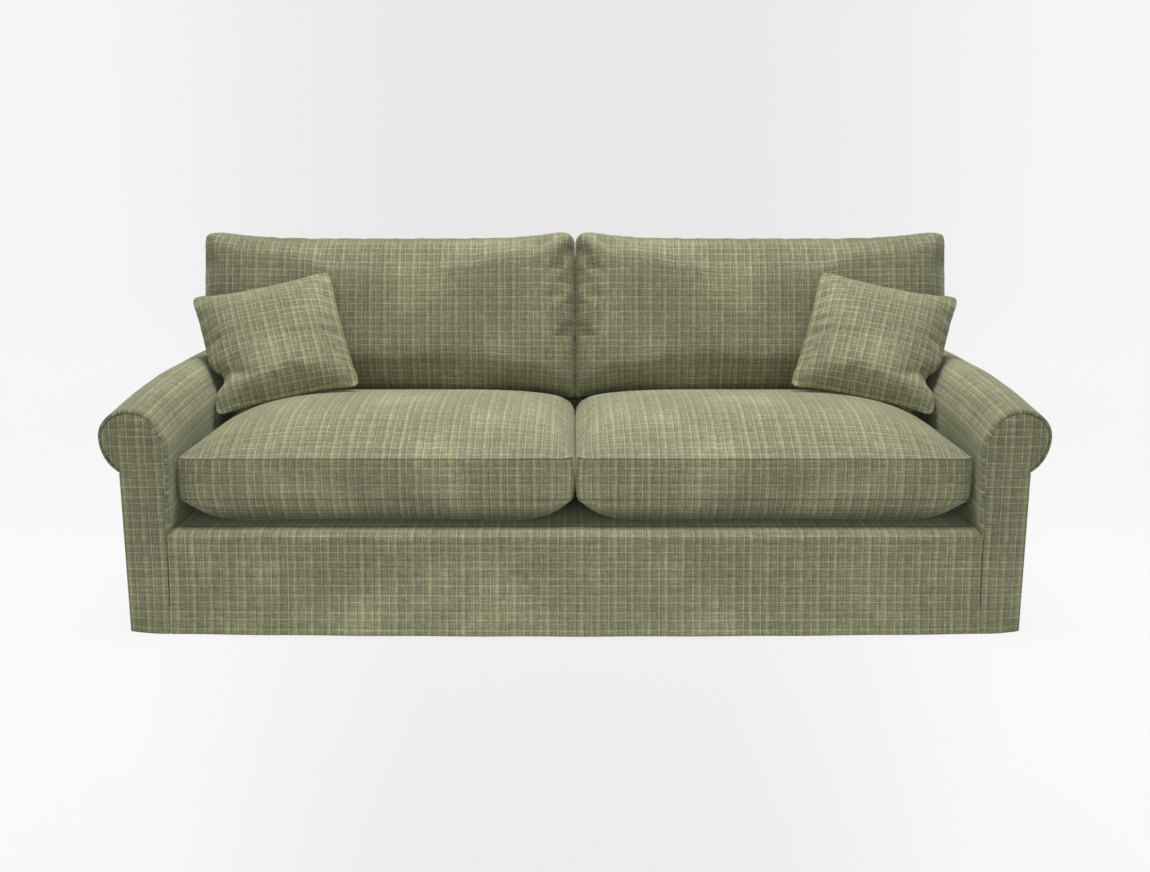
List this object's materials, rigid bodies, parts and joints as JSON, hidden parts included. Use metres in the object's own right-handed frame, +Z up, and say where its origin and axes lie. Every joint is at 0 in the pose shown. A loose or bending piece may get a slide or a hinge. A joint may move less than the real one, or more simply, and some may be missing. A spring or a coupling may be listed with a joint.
{
  "type": "sofa",
  "caption": "Wide sofa with rolled arms, a loose cover to the floor, loose boxed seat and back cushions and scatter cushions.",
  "frame": {"origin": "on the floor under the middle of the sofa", "axes": "+X to the right arm as seen from behind the picture's camera, +Y to the back, +Z up; the front faces -Y"},
  "size_m": [2.3, 1.032, 0.9408],
  "materials": {
    "cover_cloth": "woven check upholstery cloth, matt",
    "wadding": "soft foam and fibre, matt",
    "frame_timber": "sawn, unfinished",
    "spring_steel": "drawn wire",
    "webbing_tape": "woven tape",
    "undercloth": "non-woven, matt",
    "closure_tape": "closed zip on woven tape"
  },
  "bodies": {
    "sofa": {"arm_cover_right": "cover_cloth", "arm_cover_left": "cover_cloth", "arm_facing_right": "cover_cloth", "arm_facing_left": "cover_cloth", "outside_arm_cover_right": "cover_cloth", "outside_arm_cover_left": "cover_cloth", "front_skirt": "cover_cloth", "platform_cover": "cover_cloth", "deck_pad": "wadding", "front_border_pad": "wadding", "seat_springs_right": "spring_steel", "seat_springs_left": "spring_steel", "front_rail": "frame_timber", "rear_seat_rail": "frame_timber", "rear_bottom_rail": "frame_timber", "side_rail_right": "frame_timber", "side_rail_left": "frame_timber", "centre_rail": "frame_timber", "arm_front_board_right": "frame_timber", "arm_front_board_left": "frame_timber", "arm_roll_board_right": "frame_timber", "arm_roll_board_left": "frame_timber", "arm_tuck_rail_right": "frame_timber", "arm_tuck_rail_left": "frame_timber", "back_post_right": "frame_timber", "back_post_left": "frame_timber", "back_post_centre": "frame_timber", "back_top_rail": "frame_timber", "back_webbing": "webbing_tape", "arm_pad_right": "wadding", "arm_pad_left": "wadding", "inside_back_pad": "wadding", "inside_back_cover": "cover_cloth", "outside_back_cover": "cover_cloth", "foot_front_right": "frame_timber", "foot_front_left": "frame_timber", "foot_front_centre": "frame_timber", "foot_rear_right": "frame_timber", "foot_rear_left": "frame_timber", "foot_rear_centre": "frame_timber", "dust_cover": "undercloth"},
    "seat_cushion_right": {"seat_cushion_case_right": "cover_cloth", "seat_cushion_filling_right": "wadding", "seat_cushion_zip_right": "closure_tape"},
    "seat_cushion_left": {"seat_cushion_case_left": "cover_cloth", "seat_cushion_filling_left": "wadding", "seat_cushion_zip_left": "closure_tape"},
    "back_cushion_right": {"back_cushion_case_right": "cover_cloth", "back_cushion_filling_right": "wadding", "back_cushion_zip_right": "closure_tape"},
    "back_cushion_left": {"back_cushion_case_left": "cover_cloth", "back_cushion_filling_left": "wadding", "back_cushion_zip_left": "closure_tape"},
    "scatter_cushion_right": {"scatter_cushion_case_right": "cover_cloth", "scatter_cushion_filling_right": "wadding", "scatter_cushion_zip_right": "closure_tape"},
    "scatter_cushion_left": {"scatter_cushion_case_left": "cover_cloth", "scatter_cushion_filling_left": "wadding", "scatter_cushion_zip_left": "closure_tape"}
  },
  "joints": [
    {"name": "seat_cushion_right_slide", "type": "slide", "parent": "sofa", "child": "seat_cushion_right", "axis": [0, -1, 0], "range_m": [0, 0.86]},
    {"name": "seat_cushion_left_slide", "type": "slide", "parent": "sofa", "child": "seat_cushion_left", "axis": [0, -1, 0], "range_m": [0, 0.86]},
    {"name": "back_cushion_right_slide", "type": "slide", "parent": "sofa", "child": "back_cushion_right", "axis": [0, 0.225, 0.9744], "range_m": [0, 0.62]},
    {"name": "back_cushion_left_slide", "type": "slide", "parent": "sofa", "child": "back_cushion_left", "axis": [0, 0.225, 0.9744], "range_m": [0, 0.62]},
    {"name": "scatter_cushion_right_slide", "type": "slide", "parent": "sofa", "child": "scatter_cushion_right", "axis": [0, -0.5, 0.866], "range_m": [0, 0.5]},
    {"name": "scatter_cushion_left_slide", "type": "slide", "parent": "sofa", "child": "scatter_cushion_left", "axis": [0, -0.5, 0.866], "range_m": [0, 0.5]}
  ]
}
